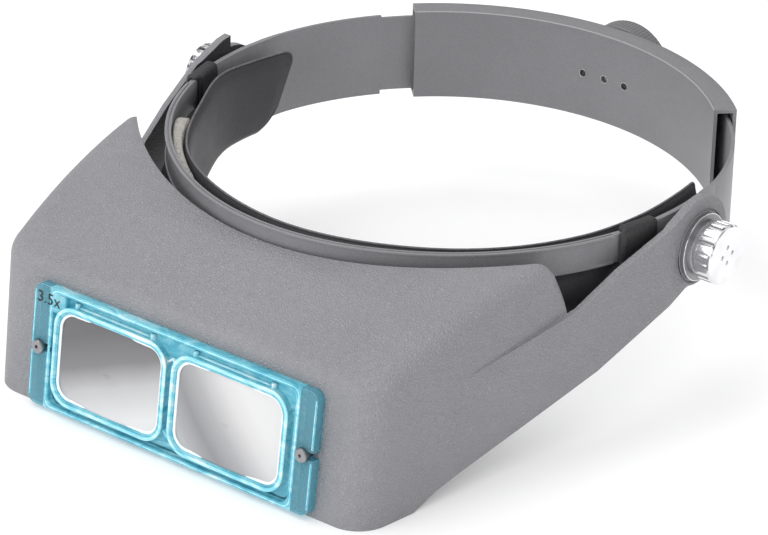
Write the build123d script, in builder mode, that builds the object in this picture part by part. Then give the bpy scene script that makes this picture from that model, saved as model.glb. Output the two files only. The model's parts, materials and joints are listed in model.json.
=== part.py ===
from build123d import *
import math
import os

os.makedirs("parts", exist_ok=True)

# Head visor magnifier.  Millimetres, +Z up, the visor faces -Y and the wearer's left is +X.
# The origin is on the floor, under the middle of the object's length.

# --- place of the head ring's centre, at the top edge of the headband ---
ring_y = 19.59
ring_z = 60.5

# --- reach of cuts that pass right through the object, and of blocks trimmed later ---
reach = 100.0
overrun = 30.0

# --- head ring, an oval of tangent arcs, outer face of the band ---
strap_radius = 87.3
side_radius = 92.7
front_centre = 13.0
side_centre = side_radius - strap_radius
front_radius = side_radius - math.hypot(side_centre, front_centre)
front_angle = math.degrees(math.atan2(side_centre, front_centre))
band_thickness = 1.6
band_front_height = 9.3
band_side_height = 28.0
widen_front_y = -11.0
widen_rear_y = -4.0
seam_y = 12.0
seam_gap = 0.5

# --- tilt pivots at the temples ---
pivot_y = 1.0
pivot_z = -12.0
bolt_radius = 2.5
bolt_head_radius = 5.5
bolt_head_thickness = 1.1
bolt_head_gap = 0.25
bolt_hole_depth = 4.1
bolt_end_x = 100.6
pivot_bore_radius = 2.55
spacer_radius = 8.0
side_gap = 0.05
disc_radius = 14.2
disc_y = 0.3
disc_z = -10.0
disc_inner_x = 90.0
disc_outer_x = 92.6
groove_radius = 11.3
groove_width = 0.7
groove_depth = 0.5
friction_washer_radius = 10.6
friction_washer_end_x = 94.0
wave_washer_radius = 8.0
wave_washer_end_x = 94.9
outer_washer_radius = 8.6
outer_washer_end_x = 96.6
thumb_knob_radius = 9.4
thumb_knob_start_x = 96.7
thumb_knob_end_x = 102.4
thumb_flutes = 22
thumb_flute_radius = 0.8
thumb_cap_thickness = 1.2
thumb_knob_chamfer = 0.5
spanner_hole_radius = 0.7
spanner_hole_circle = 2.6
spanner_hole_depth = 0.8

band_bead = 0.4
band_bead_height = 0.7
band_groove_inset = 0.45
band_groove_width = 0.5
band_groove_depth = 0.35
bead_half_angle = 70.0

# --- sweatband, its foam and its loops ---
leather_thickness = 1.5
leather_top = -0.8
leather_bottom = -30.5
leather_end_angle = 104.0
flap_end_top_y = 16.5
flap_end_low_y = 6.0
leather_front_radius = 86.4
leather_brow_radius = 84.6
leather_brow_angle = 36.0
leather_left_radius = 83.2
leather_right_radius = 80.4
leather_temple_angle = 62.0
leather_loop_radius = 82.3
leather_loop_angle = 80.0
leather_left_end_radius = 82.0
leather_right_end_radius = 78.6
flap_top_corner = 3.5
flap_bottom_corner = 9.0
foam_half_angle = 60.0
foam_top = -2.2
foam_bottom = -9.6
loop_start_angle = 72.0
loop_end_angle = 80.5
loop_thickness = 0.9
loop_clearance = 0.05

# --- rear straps and their racks ---
strap_thickness = 1.1
strap_rear_top = -0.8
strap_rear_bottom = -26.6
strap_step_angle = 53.0
strap_tail_angle = 17.8
inner_level_drop = 2.2
joggle_start_angle = 24.5
joggle_end_angle = 22.5
slot_short_angle = 8.3
slot_long_angle = 15.6
slot_plain_edge = 6.6
pinion_z = -12.7
pinion_teeth = 10
pinion_pitch_radius = 5.0
pinion_tip_radius = 5.8
pinion_root_radius = 4.0
tooth_root_width = 1.5
tooth_tip_width = 0.6
rack_tooth_tip = 4.2
rack_tooth_root = 6.0

# --- rear housing and the size knob ---
housing_inner_radius = 82.0
housing_outer_radius = 89.2
housing_wall = 1.1
housing_half_angle = 45.8
housing_top = 2.6
housing_bottom = -27.9
housing_bottom_flange = 1.0
housing_screw_x = 8.2
boss_radius = 1.7
screw_hole_radius = 1.25
screw_ledge_radius = 0.95
screw_ledge_depth = 0.75
housing_screw_head = 0.4
housing_screw_shank = 0.78
housing_screw_length = 3.2
housing_pilot_radius = 0.8
collar_radius = 6.5
collar_end_y = 90.2
collar_root = 1.0
shaft_radius = 2.95
shaft_bore_radius = 3.0
pilot_radius = 1.2
size_knob_radius = 15.5
size_knob_start_y = 90.5
size_knob_end_y = 97.7
size_knob_ribs = 84
rib_radius = 0.36
cap_radius = 10.5
cap_depth = 1.2

# --- visor shell ---
wall = 2.0
front_tilt = 0.12
front_panel_y = -131.04
front_panel_z = -40.31
visor_bottom = -60.5
roof_rear_y = -58.5
roof_rear_z = 0.6
roof_mid_y = -94.0
roof_mid_z = -4.7
roof_front_z = -16.6
corner_half_width = 72.6
corner_y = -122.0
peak_half_width = 82.4
peak_y = -59.0
front_corner_radius = 11.0
rear_corner_radius = 3.5
ridge_radius = 6.0
roof_cut_centre_y = 13.0
roof_cut_radius = 106.2
notch_y = -50.5
notch_z = -15.8
arm_front_x = 75.0
arm_front_y = -104.0
arm_mid_x = 84.6
arm_mid_y = -56.0
arm_rear_x = 92.3
arm_rear_y = -16.0
arm_thickness = 2.0
arm_top_mid_y = -34.5
arm_top_mid_z = -7.8
arm_top_rear_y = -16.3
arm_top_rear_z = -1.0
arm_low_rear_y = -5.5
arm_low_rear_z = -23.6
arm_low_bend_y = -16.1
arm_low_bend_z = -27.4
arm_low_mid_y = -42.0
arm_low_mid_z = -38.6
arm_low_front_z = -56.6
arm_step_top_z = -27.0
arm_valley_y = -99.5
arm_valley_z = -24.6
rim_front_y = -113.0
window_width = 90.0
window_height = 32.0
window_radius = 5.0

# --- lens plate ---
plate_width = 108.0
plate_height = 38.5
plate_thickness = 3.2
plate_corner = 3.0
tray_half_width = 47.6
tray_wall = 1.3
tray_depth = 1.7
lens_centre_x = 22.8
lens_centre_v = -0.3
lens_width = 40.0
lens_height = 28.0
lens_corner = 5.5
lens_rim = 1.7
rim_height = 4.2
lens_back = 0.4
lens_edge = 2.9
lens_dome = 1.2
plate_screw_x = 50.5
plate_screw_v = -0.5
plate_slide = 3.0
plate_screw_radius = 1.2
plate_screw_slot = 1.35
plate_screw_head_radius = 2.2
plate_screw_head_height = 1.5
screw_dimple_radius = 0.55
screw_dimple_depth = 0.7
screw_end_depth = 4.8
insert_radius = 2.3
insert_length = 3.2
insert_boss_radius = 3.6

side_plane = Plane(origin=(0, ring_y, ring_z), x_dir=(0, 1, 0), z_dir=(1, 0, 0))
plate_normal = (0, -math.cos(front_tilt), math.sin(front_tilt))
plate_origin = (0, ring_y + front_panel_y, ring_z + front_panel_z)
plate_plane = Plane(origin=plate_origin, x_dir=(1, 0, 0), z_dir=plate_normal)


def level(height):
    """Horizontal plane at a height above the band's top edge, centred on the head ring."""
    return Plane(origin=(0, ring_y, ring_z + height))


def pivot_plane(side, x):
    """Plane across the tilt axis, facing outwards on the given side."""
    return Plane(origin=(side * x, ring_y + pivot_y, ring_z + pivot_z), x_dir=(0, 1, 0), z_dir=(side, 0, 0))


def rear_plane(y):
    """Upright plane behind the ring's centre, facing the rear, centred on the size knob's axis."""
    return Plane(origin=(0, ring_y + y, ring_z + pinion_z), x_dir=(-1, 0, 0), z_dir=(0, 1, 0))


def oval_face(inset, mode=Mode.ADD):
    """Face inside the head ring's oval, moved inwards by inset."""
    side_sweep = 90 - front_angle
    with BuildLine() as outline:
        CenterArc((0, -front_centre), front_radius - inset, -90 - front_angle, 2 * front_angle)
        CenterArc((-side_centre, 0), side_radius - inset, -side_sweep, side_sweep)
        CenterArc((0, 0), strap_radius - inset, 0, 180)
        CenterArc((side_centre, 0), side_radius - inset, 180, side_sweep)
    make_face(outline.edges(), mode=mode)


def sector_face(inner, outer, start, end, mode=Mode.ADD):
    """Ring sector between two radii, with angles in degrees from +X."""
    with BuildLine() as outline:
        outside = CenterArc((0, 0), outer, start, end - start)
        inside = CenterArc((0, 0), inner, start, end - start)
        Line(outside @ 0, inside @ 0)
        Line(outside @ 1, inside @ 1)
    make_face(outline.edges(), mode=mode)


def wedge_face(reach, start, end):
    """Triangle-like wedge from the ring's centre, with angles in degrees from +X."""
    with BuildLine() as outline:
        Polyline(
            (0, 0),
            (reach * math.cos(math.radians(start)), reach * math.sin(math.radians(start))),
            (reach * math.cos(math.radians(end)), reach * math.sin(math.radians(end))),
            close=True,
        )
    make_face(outline.edges())


# ---------------------------------------------------------------- front headband
def band_slice(outer_inset, inner_inset, start, height):
    """Part of a ring along the band's narrow stretch, between two insets and from a start height."""
    with BuildPart() as piece:
        with BuildSketch(level(start)):
            oval_face(outer_inset)
            oval_face(inner_inset, mode=Mode.SUBTRACT)
        extrude(amount=height)
        with BuildSketch(level(start)):
            wedge_face(4 * reach, -90 - bead_half_angle, -90 + bead_half_angle)
        extrude(amount=height, mode=Mode.INTERSECT)
    return piece.part


def band_bead_ring(start):
    """Raised bead along one edge of the band's outer face."""
    return band_slice(-band_bead, band_thickness / 2, start, band_bead_height)


def band_groove():
    """Shallow groove along the middle of the band's top edge."""
    return band_slice(band_groove_inset, band_groove_inset + band_groove_width, -band_groove_depth, 1)


with BuildPart() as front_headband:
    with BuildSketch(level(-band_side_height)):
        oval_face(0)
        oval_face(band_thickness, mode=Mode.SUBTRACT)
    extrude(amount=band_side_height)
    with BuildSketch(side_plane):
        with BuildLine():
            Polyline(
                (-reach, 0),
                (seam_y - seam_gap / 2, 0),
                (seam_y - seam_gap / 2, -band_side_height),
                (widen_rear_y, -band_side_height),
                (widen_front_y, -band_front_height),
                (-reach, -band_front_height),
                close=True,
            )
        make_face()
        lower = vertices().filter_by_position(Axis.X, widen_front_y - 0.1, widen_rear_y + 0.1)
        fillet(lower, radius=4)
    extrude(amount=reach, both=True, mode=Mode.INTERSECT)
    for bead_start in (-band_bead_height, -band_front_height):
        add(band_bead_ring(bead_start))
    add(band_groove(), mode=Mode.SUBTRACT)
    with BuildSketch(pivot_plane(1, -reach)):
        Circle(bolt_radius)
    extrude(amount=2 * reach, mode=Mode.SUBTRACT)
front_headband.part.label = "front_headband"
export_step(front_headband.part, "parts/front_headband.step")


# ---------------------------------------------------------------- tilt pivots
def pivot_ring(side, start_x, end_x, radius):
    """Flat ring on the bolt, round the tilt axis."""
    with BuildPart() as ring:
        with BuildSketch(pivot_plane(side, start_x)):
            Circle(radius)
            Circle(bolt_radius, mode=Mode.SUBTRACT)
        extrude(amount=end_x - start_x)
    return ring.part


def pivot_bolt(side):
    """Bolt fixed through the band, with its flat head on the inside."""
    head_x = strap_radius - band_thickness
    with BuildPart() as bolt:
        with BuildSketch(pivot_plane(side, head_x - bolt_head_thickness)):
            Circle(bolt_head_radius)
        extrude(amount=bolt_head_thickness - bolt_head_gap)
        with BuildSketch(pivot_plane(side, head_x - bolt_head_thickness)):
            Circle(bolt_radius)
        extrude(amount=bolt_end_x - head_x + bolt_head_thickness)
    return bolt.part


def thumb_knob(side):
    """Fluted metal thumb nut with a flat cap and a ring of spanner holes."""
    length = thumb_knob_end_x - thumb_knob_start_x
    with BuildPart() as knob:
        with BuildSketch(pivot_plane(side, thumb_knob_start_x)):
            Circle(thumb_knob_radius)
        extrude(amount=length)
        rims = knob.edges().filter_by(GeomType.CIRCLE)
        chamfer(rims, length=thumb_knob_chamfer)
        with BuildSketch(pivot_plane(side, thumb_knob_start_x)):
            with PolarLocations(thumb_knob_radius + 0.25, thumb_flutes):
                Circle(thumb_flute_radius)
        extrude(amount=length - thumb_cap_thickness, mode=Mode.SUBTRACT)
        with BuildSketch(pivot_plane(side, thumb_knob_start_x)):
            Circle(bolt_radius + 0.02)
        extrude(amount=bolt_hole_depth, mode=Mode.SUBTRACT)
        with BuildSketch(pivot_plane(side, thumb_knob_end_x)):
            with PolarLocations(spanner_hole_circle, 4):
                Circle(spanner_hole_radius)
        extrude(amount=-spanner_hole_depth, mode=Mode.SUBTRACT)
    return knob.part


for side, hand in ((1, "left"), (-1, "right")):
    washer_start_x = disc_outer_x + side_gap
    stack = {
        "pivot_spacer": pivot_ring(side, strap_radius + side_gap, disc_inner_x - side_gap, spacer_radius),
        "friction_washer": pivot_ring(side, washer_start_x, friction_washer_end_x, friction_washer_radius),
        "wave_washer": pivot_ring(side, friction_washer_end_x, wave_washer_end_x, wave_washer_radius),
        "outer_washer": pivot_ring(side, wave_washer_end_x, outer_washer_end_x, outer_washer_radius),
        "pivot_bolt": pivot_bolt(side),
        "thumb_knob": thumb_knob(side),
    }
    for name, solid in stack.items():
        solid.label = f"{name}_{hand}"
        export_step(solid, f"parts/{name}_{hand}.step")


# ---------------------------------------------------------------- sweatband
def leather_path(depth):
    """Points along the sweatband seen from above, from the right flap round the front to the left flap."""
    stations = (
        (-leather_end_angle, leather_right_end_radius),
        (-leather_loop_angle, leather_loop_radius - 1),
        (-leather_temple_angle, leather_right_radius),
        (-leather_brow_angle, leather_brow_radius),
        (0, leather_front_radius),
        (leather_brow_angle, leather_brow_radius),
        (leather_temple_angle, leather_left_radius),
        (leather_loop_angle, leather_loop_radius),
        (leather_end_angle, leather_left_end_radius),
    )
    points = []
    for angle, radius in stations:
        turn = math.radians(angle - 90)
        points.append(((radius - depth) * math.cos(turn), (radius - depth) * math.sin(turn)))
    return points


def leather_face(outer_depth, inner_depth):
    """Face between two depths inside the sweatband's outer skin."""
    with BuildLine() as outline:
        outside = Spline(*leather_path(outer_depth))
        inside = Spline(*leather_path(inner_depth))
        Line(outside @ 0, inside @ 0)
        Line(outside @ 1, inside @ 1)
    make_face(outline.edges())


def inside_leather_face(depth, mode=Mode.ADD):
    """Everything inside the sweatband's outer skin, closed across the rear."""
    with BuildLine() as outline:
        skin = Spline(*leather_path(depth))
        Line(skin @ 0, skin @ 1)
    make_face(outline.edges(), mode=mode)


with BuildPart() as sweatband:
    with BuildSketch(level(leather_bottom)):
        leather_face(0, leather_thickness)
    extrude(amount=leather_top - leather_bottom)
    with BuildSketch(side_plane):
        with BuildLine():
            Polyline(
                (flap_end_top_y, leather_top),
                (flap_end_low_y, leather_bottom),
                (reach, leather_bottom),
                (reach, leather_top),
                close=True,
            )
        make_face()
    extrude(amount=reach, both=True, mode=Mode.SUBTRACT)
    for height, corner in ((leather_top, flap_top_corner), (leather_bottom, flap_bottom_corner)):
        flap_ends = sweatband.edges().filter_by(
            lambda e: e.length < 2 * leather_thickness and abs(e.center().Z - (ring_z + height)) < 0.1)
        fillet(flap_ends, radius=corner)
sweatband.part.label = "sweatband"
export_step(sweatband.part, "parts/sweatband.step")

with BuildPart() as sweatband_foam:
    with BuildSketch(level(foam_bottom)):
        oval_face(band_thickness + 0.1)
        inside_leather_face(-0.1, mode=Mode.SUBTRACT)
    extrude(amount=foam_top - foam_bottom)
    with BuildSketch(level(foam_bottom)):
        wedge_face(4 * reach, -90 - foam_half_angle, -90 + foam_half_angle)
    extrude(amount=foam_top - foam_bottom, mode=Mode.INTERSECT)
sweatband_foam.part.label = "sweatband_foam"
export_step(sweatband_foam.part, "parts/sweatband_foam.step")


def band_loop(side):
    """Leather loop that wraps once round the narrow part of the band."""
    outer = -(loop_thickness + loop_clearance)
    inner = band_thickness + loop_thickness + loop_clearance
    height = band_front_height + 2 * (loop_thickness + loop_clearance)
    hollow = band_front_height + 2 * loop_clearance
    start = -90 + side * loop_start_angle
    end = -90 + side * loop_end_angle
    with BuildPart() as loop:
        with BuildSketch(level(-band_front_height - loop_thickness - loop_clearance)):
            oval_face(outer)
            oval_face(inner, mode=Mode.SUBTRACT)
        extrude(amount=height)
        with BuildSketch(level(-band_front_height - loop_clearance)):
            oval_face(-loop_clearance)
            oval_face(band_thickness + loop_clearance, mode=Mode.SUBTRACT)
        extrude(amount=hollow, mode=Mode.SUBTRACT)
        with BuildSketch(level(-band_side_height)):
            wedge_face(4 * reach, start, end)
        extrude(amount=2 * band_side_height, mode=Mode.INTERSECT)
    return loop.part


for side, hand in ((1, "left"), (-1, "right")):
    loop = band_loop(side)
    loop.label = f"band_loop_{hand}"
    export_step(loop, f"parts/band_loop_{hand}.step")


# ---------------------------------------------------------------- side straps with racks
def tooth_face(root_height, tip_height, turn=0):
    """Tapered tooth that grows from root_height to tip_height, turned from the sketch's Y by an angle."""
    across = math.cos(math.radians(turn))
    along = math.sin(math.radians(turn))
    corners = (
        (-tooth_root_width / 2, root_height),
        (tooth_root_width / 2, root_height),
        (tooth_tip_width / 2, tip_height),
        (-tooth_tip_width / 2, tip_height),
    )
    with BuildLine() as outline:
        Polyline(*[(x * across - y * along, x * along + y * across) for x, y in corners], close=True)
    make_face(outline.edges())


def side_strap(side):
    """Curved side strap.  Its tail carries a toothed slot that passes round the pinion."""
    drop = 0 if side > 0 else inner_level_drop
    outer = strap_radius - drop
    inner = outer - strap_thickness
    start = math.degrees(math.asin((seam_y + seam_gap / 2) / strap_radius))
    step = 90 - strap_step_angle
    body_end = 90 + strap_tail_angle if side > 0 else 90 - joggle_end_angle
    tail_start = 90 - joggle_start_angle
    tail_end = 90 + strap_tail_angle
    slot_start = 90 - slot_short_angle
    slot_end = 90 + slot_long_angle
    rack_side = 1 if side > 0 else -1
    slot_low = pinion_z - (slot_plain_edge if side > 0 else rack_tooth_root)
    slot_high = pinion_z + (rack_tooth_root if side > 0 else slot_plain_edge)
    with BuildPart() as strap:
        with BuildSketch(level(-band_side_height)):
            sector_face(strap_radius - strap_thickness, strap_radius, start, step)
        extrude(amount=band_side_height)
        with BuildSketch(level(strap_rear_bottom)):
            sector_face(strap_radius - strap_thickness, strap_radius, step - 1, body_end)
        extrude(amount=strap_rear_top - strap_rear_bottom)
        if side < 0:
            with BuildSketch(level(strap_rear_bottom)):
                sector_face(inner, strap_radius, tail_start, body_end)
                sector_face(inner, outer, body_end - 0.1, tail_end)
            extrude(amount=strap_rear_top - strap_rear_bottom)
        with BuildSketch(level(slot_low)):
            sector_face(inner - 0.5, outer + 0.5, slot_start, slot_end)
        extrude(amount=slot_high - slot_low, mode=Mode.SUBTRACT)
        pitch = 2 * math.pi * pinion_pitch_radius / pinion_teeth
        middle = (inner + outer) / 2
        first = -int(math.radians(slot_long_angle) * middle / pitch - 0.5)
        last = int(math.radians(slot_short_angle) * middle / pitch - 0.5)
        for count in range(first, last + 1):
            angle = math.radians(90) - (count + 0.5) * pitch / middle
            across = (math.cos(angle), math.sin(angle), 0)
            origin = (inner * across[0], ring_y + inner * across[1], ring_z + pinion_z)
            with BuildSketch(Plane(origin=origin, x_dir=(across[1], -across[0], 0), z_dir=across)):
                tooth_face(-rack_side * (rack_tooth_root + 0.3), -rack_side * rack_tooth_tip)
            extrude(amount=strap_thickness)
    return strap.part


side_strap_left = side_strap(1)
side_strap_left.label = "side_strap_left"
export_step(side_strap_left, "parts/side_strap_left.step")
with BuildPart() as side_strap_right:
    mirror(side_strap(-1), about=Plane.YZ)
side_strap_right.part.label = "side_strap_right"
export_step(side_strap_right.part, "parts/side_strap_right.step")

# ---------------------------------------------------------------- rear housing
housing_start = 90 - housing_half_angle
housing_end = 90 + housing_half_angle
plate_radius = housing_inner_radius + housing_wall
with BuildPart() as housing_outer:
    with BuildSketch(level(housing_bottom)):
        sector_face(plate_radius, housing_outer_radius, housing_start, housing_end)
    extrude(amount=housing_top - housing_bottom)
    with BuildSketch(level(housing_bottom + housing_bottom_flange)):
        hollow_radius = housing_outer_radius - housing_wall
        sector_face(plate_radius - 1, hollow_radius, housing_start - 2, housing_end + 2)
    extrude(amount=housing_top - housing_wall - housing_bottom - housing_bottom_flange, mode=Mode.SUBTRACT)
    with BuildSketch(rear_plane(plate_radius)):
        with Locations((-housing_screw_x, 0), (housing_screw_x, 0)):
            Circle(boss_radius)
    extrude(amount=housing_outer_radius - plate_radius - 1)
    with BuildSketch(rear_plane(housing_outer_radius - collar_root)):
        Circle(collar_radius)
    extrude(amount=collar_end_y - housing_outer_radius + collar_root)
    with BuildSketch(level(housing_bottom)):
        Circle(plate_radius)
    extrude(amount=housing_top - housing_bottom, mode=Mode.SUBTRACT)
    with BuildSketch(rear_plane(plate_radius)):
        Circle(shaft_bore_radius)
    extrude(amount=10, mode=Mode.SUBTRACT)
    with BuildSketch(rear_plane(plate_radius - 1)):
        with Locations((-housing_screw_x, 0), (housing_screw_x, 0)):
            Circle(housing_pilot_radius)
    extrude(amount=4, mode=Mode.SUBTRACT)
housing_outer.part.label = "housing_outer"
export_step(housing_outer.part, "parts/housing_outer.step")

with BuildPart() as housing_inner:
    with BuildSketch(level(housing_bottom)):
        sector_face(housing_inner_radius, plate_radius, housing_start, housing_end)
    extrude(amount=housing_top - housing_bottom)
    with BuildSketch(rear_plane(housing_inner_radius - 2)):
        with Locations((0, 0)):
            Circle(screw_hole_radius)
    extrude(amount=6, mode=Mode.SUBTRACT)
    screw_seat_y = math.sqrt(housing_inner_radius ** 2 - housing_screw_x ** 2) + screw_ledge_depth
    with BuildSketch(rear_plane(housing_inner_radius - 2)):
        with Locations((-housing_screw_x, 0), (housing_screw_x, 0)):
            Circle(screw_hole_radius)
    extrude(amount=screw_seat_y - housing_inner_radius + 2, mode=Mode.SUBTRACT)
    with BuildSketch(rear_plane(housing_inner_radius - 2)):
        with Locations((-housing_screw_x, 0), (housing_screw_x, 0)):
            Circle(screw_ledge_radius)
    extrude(amount=6, mode=Mode.SUBTRACT)
housing_inner.part.label = "housing_inner"
export_step(housing_inner.part, "parts/housing_inner.step")

with BuildPart() as housing_screws:
    with BuildSketch(rear_plane(screw_seat_y - housing_screw_head)):
        with Locations((-housing_screw_x, 0), (housing_screw_x, 0)):
            Circle(screw_hole_radius - 0.1)
    extrude(amount=housing_screw_head)
    with BuildSketch(rear_plane(screw_seat_y - 0.2)):
        with Locations((-housing_screw_x, 0), (housing_screw_x, 0)):
            Circle(housing_screw_shank)
    extrude(amount=housing_screw_length)
housing_screws.part.label = "housing_screws"
export_step(housing_screws.part, "parts/housing_screws.step")

# ---------------------------------------------------------------- size knob
pinion_start_y = plate_radius + 0.25
pinion_end_y = housing_outer_radius - housing_wall - 0.2
with BuildPart() as pinion_shaft:
    with BuildSketch(rear_plane(pinion_start_y)):
        Circle(pinion_root_radius)
        for count in range(pinion_teeth):
            tooth_face(pinion_root_radius - 0.3, pinion_tip_radius, count * 360 / pinion_teeth)
    extrude(amount=pinion_end_y - pinion_start_y)
    with BuildSketch(rear_plane(pinion_end_y - 0.1)):
        Circle(shaft_radius)
    extrude(amount=size_knob_end_y - 3 - pinion_end_y)
    with BuildSketch(rear_plane(housing_inner_radius + 0.9)):
        Circle(pilot_radius)
    extrude(amount=1)
pinion_shaft.part.label = "pinion_shaft"
export_step(pinion_shaft.part, "parts/pinion_shaft.step")

with BuildPart() as size_knob:
    with BuildSketch(rear_plane(size_knob_start_y)):
        Circle(size_knob_radius)
    extrude(amount=size_knob_end_y - size_knob_start_y)
    knob_rims = size_knob.edges().filter_by(GeomType.CIRCLE)
    fillet(knob_rims, radius=0.9)
    with BuildSketch(rear_plane(size_knob_start_y - 1)):
        with PolarLocations(size_knob_radius + 0.1, size_knob_ribs):
            Circle(rib_radius)
    extrude(amount=size_knob_end_y - size_knob_start_y + 2, mode=Mode.SUBTRACT)
    with BuildSketch(rear_plane(size_knob_end_y)):
        Circle(cap_radius)
    extrude(amount=-cap_depth, mode=Mode.SUBTRACT)
    with BuildSketch(rear_plane(size_knob_start_y - 1)):
        Circle(shaft_radius)
    extrude(amount=size_knob_end_y - 3 - size_knob_start_y + 1, mode=Mode.SUBTRACT)
size_knob.part.label = "size_knob"
export_step(size_knob.part, "parts/size_knob.step")

with BuildPart() as size_knob_cap:
    with BuildSketch(rear_plane(size_knob_end_y - cap_depth)):
        Circle(cap_radius - 0.05)
    extrude(amount=cap_depth + 0.3)
    cap_rim = size_knob_cap.edges().filter_by(GeomType.CIRCLE).sort_by(Axis.Y)[-1]
    chamfer(cap_rim, length=0.4)
size_knob_cap.part.label = "size_knob_cap"
export_step(size_knob_cap.part, "parts/size_knob_cap.step")


# ---------------------------------------------------------------- visor shell
def visor_block(inset, sink):
    """Solid under the roof and behind the front panel, moved inwards by inset."""
    lean = math.tan(front_tilt)
    front_at = front_panel_y + inset / math.cos(front_tilt)
    low = visor_bottom - sink
    low_y = front_at - (front_panel_z - low) * lean
    high_y = front_at + (roof_front_z - inset - front_panel_z) * lean
    slope_x = (peak_half_width - corner_half_width) / (peak_y - corner_y)
    rear_y = notch_y + 2 * sink
    front_half = corner_half_width - slope_x * overrun - inset
    rear_half = peak_half_width + slope_x * (rear_y - peak_y) - inset
    with BuildPart() as block:
        with BuildSketch(side_plane):
            with BuildLine():
                Polyline(
                    (high_y, roof_front_z - inset),
                    (low_y, low),
                    (rear_y, low),
                    (rear_y, notch_z - inset),
                    (roof_rear_y + 2 * sink, roof_rear_z - inset),
                )
                ThreePointArc(
                    (roof_rear_y + 2 * sink, roof_rear_z - inset),
                    (roof_mid_y, roof_mid_z - inset),
                    (high_y, roof_front_z - inset),
                )
            make_face()
        extrude(amount=reach, both=True)
        with BuildSketch(level(low)):
            with BuildLine():
                Polyline(
                    (-front_half, corner_y - overrun),
                    (front_half, corner_y - overrun),
                    (rear_half, rear_y),
                    (-rear_half, rear_y),
                    close=True,
                )
            make_face()
        extrude(amount=reach, mode=Mode.INTERSECT)
        corners = block.edges().filter_by(
            lambda e: e.center().Y < ring_y + corner_y - 3 and abs(e.center().X) > 50
            and abs(e.tangent_at(0.5).Z) > 0.9)
        fillet(corners, radius=front_corner_radius - inset)
        ridge = block.edges().filter_by(
            lambda e: e.center().Z > ring_z + roof_front_z - 6 and e.center().Y < ring_y + roof_rear_y - 8)
        fillet(ridge, radius=ridge_radius - inset)
        if inset == 0:
            rear_corners = block.edges().filter_by(
                lambda e: abs(e.center().X) > peak_half_width - 4
                and ring_y + roof_rear_y - 1 < e.center().Y < ring_y + notch_y - 0.5
                and abs(e.tangent_at(0.5).Z) > 0.7)
            fillet(rear_corners, radius=rear_corner_radius)
    return block.part


outer_block = visor_block(0, 0)
inner_block = visor_block(wall, 4)


def arm_profile():
    """Side view of the arm and of what the side walls keep."""
    with BuildLine() as outline:
        Polyline(
            (disc_y, disc_z - disc_radius + 1),
            (arm_low_rear_y, arm_low_rear_z),
            (arm_low_bend_y, arm_low_bend_z),
            (arm_low_mid_y, arm_low_mid_z),
            (arm_front_y, arm_low_front_z),
            (arm_front_y, arm_step_top_z),
            (arm_valley_y, arm_valley_z),
            (notch_y, notch_z),
            (arm_top_mid_y, arm_top_mid_z),
            (arm_top_rear_y, arm_top_rear_z),
            (disc_y - 4, disc_z + disc_radius - 0.6),
            (disc_y, disc_z + disc_radius - 0.1),
            close=True,
        )
    make_face(outline.edges())


def side_arm(side):
    """Arm from the shell's side wall to the round end at the temple."""
    with BuildPart() as arm:
        with BuildSketch(level(visor_bottom - 2)):
            with BuildLine():
                outer_curve = ThreePointArc(
                    (side * arm_front_x, arm_front_y),
                    (side * arm_mid_x, arm_mid_y),
                    (side * arm_rear_x, arm_rear_y),
                )
                inner_curve = ThreePointArc(
                    (side * (arm_front_x - arm_thickness), arm_front_y),
                    (side * (arm_mid_x - arm_thickness), arm_mid_y),
                    (side * (arm_rear_x - arm_thickness), arm_rear_y),
                )
                Line(outer_curve @ 0, inner_curve @ 0)
                Polyline(
                    outer_curve @ 1,
                    (side * disc_outer_x, disc_y - disc_radius),
                    (side * disc_outer_x, disc_y),
                    (side * disc_inner_x, disc_y),
                    (side * disc_inner_x, disc_y - disc_radius),
                    inner_curve @ 1,
                )
            make_face()
        extrude(amount=reach)
        with BuildSketch(side_plane):
            arm_profile()
        extrude(amount=reach, both=True, mode=Mode.INTERSECT)
        with BuildSketch(pivot_plane(side, disc_inner_x)):
            with Locations((disc_y - pivot_y, disc_z - pivot_z)):
                Circle(disc_radius)
        extrude(amount=disc_outer_x - disc_inner_x)
    return arm.part


with BuildPart() as visor_shell:
    add(outer_block)
    add(inner_block, mode=Mode.SUBTRACT)
    with BuildSketch(level(visor_bottom)):
        with Locations((0, roof_cut_centre_y)):
            Circle(roof_cut_radius)
    extrude(amount=reach, mode=Mode.SUBTRACT)
    with BuildSketch(side_plane):
        with BuildLine():
            Polyline(
                (rim_front_y, visor_bottom),
                (arm_front_y, arm_low_front_z),
                (arm_low_mid_y, arm_low_mid_z),
                (arm_low_mid_y, visor_bottom - overrun),
                (rim_front_y, visor_bottom - overrun),
                close=True,
            )
        make_face()
    extrude(amount=reach, both=True, mode=Mode.SUBTRACT)
    for side in (1, -1):
        add(side_arm(side))
        with BuildSketch(pivot_plane(side, disc_outer_x)):
            Circle(groove_radius + groove_width / 2)
            Circle(groove_radius - groove_width / 2, mode=Mode.SUBTRACT)
        extrude(amount=-groove_depth, mode=Mode.SUBTRACT)
        with BuildSketch(pivot_plane(side, disc_inner_x - 1)):
            Circle(pivot_bore_radius)
        extrude(amount=6, mode=Mode.SUBTRACT)
    with BuildSketch(plate_plane):
        with Locations((-plate_screw_x, plate_screw_v), (plate_screw_x, plate_screw_v)):
            Circle(insert_boss_radius)
    extrude(amount=-insert_length - 1.2)
    with BuildSketch(plate_plane.offset(-insert_length - 2)):
        with Locations((-plate_screw_x, plate_screw_v), (plate_screw_x, plate_screw_v)):
            Circle(insert_radius)
    extrude(amount=insert_length + 1.2, mode=Mode.SUBTRACT)
    with BuildSketch(plate_plane.offset(1)):
        with Locations((0, lens_centre_v)):
            RectangleRounded(window_width, window_height, window_radius)
        with Locations((-plate_screw_x, plate_screw_v), (plate_screw_x, plate_screw_v)):
            Circle(plate_screw_radius + 0.15)
    extrude(amount=-6, mode=Mode.SUBTRACT)
visor_shell.part.label = "visor_shell"
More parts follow.
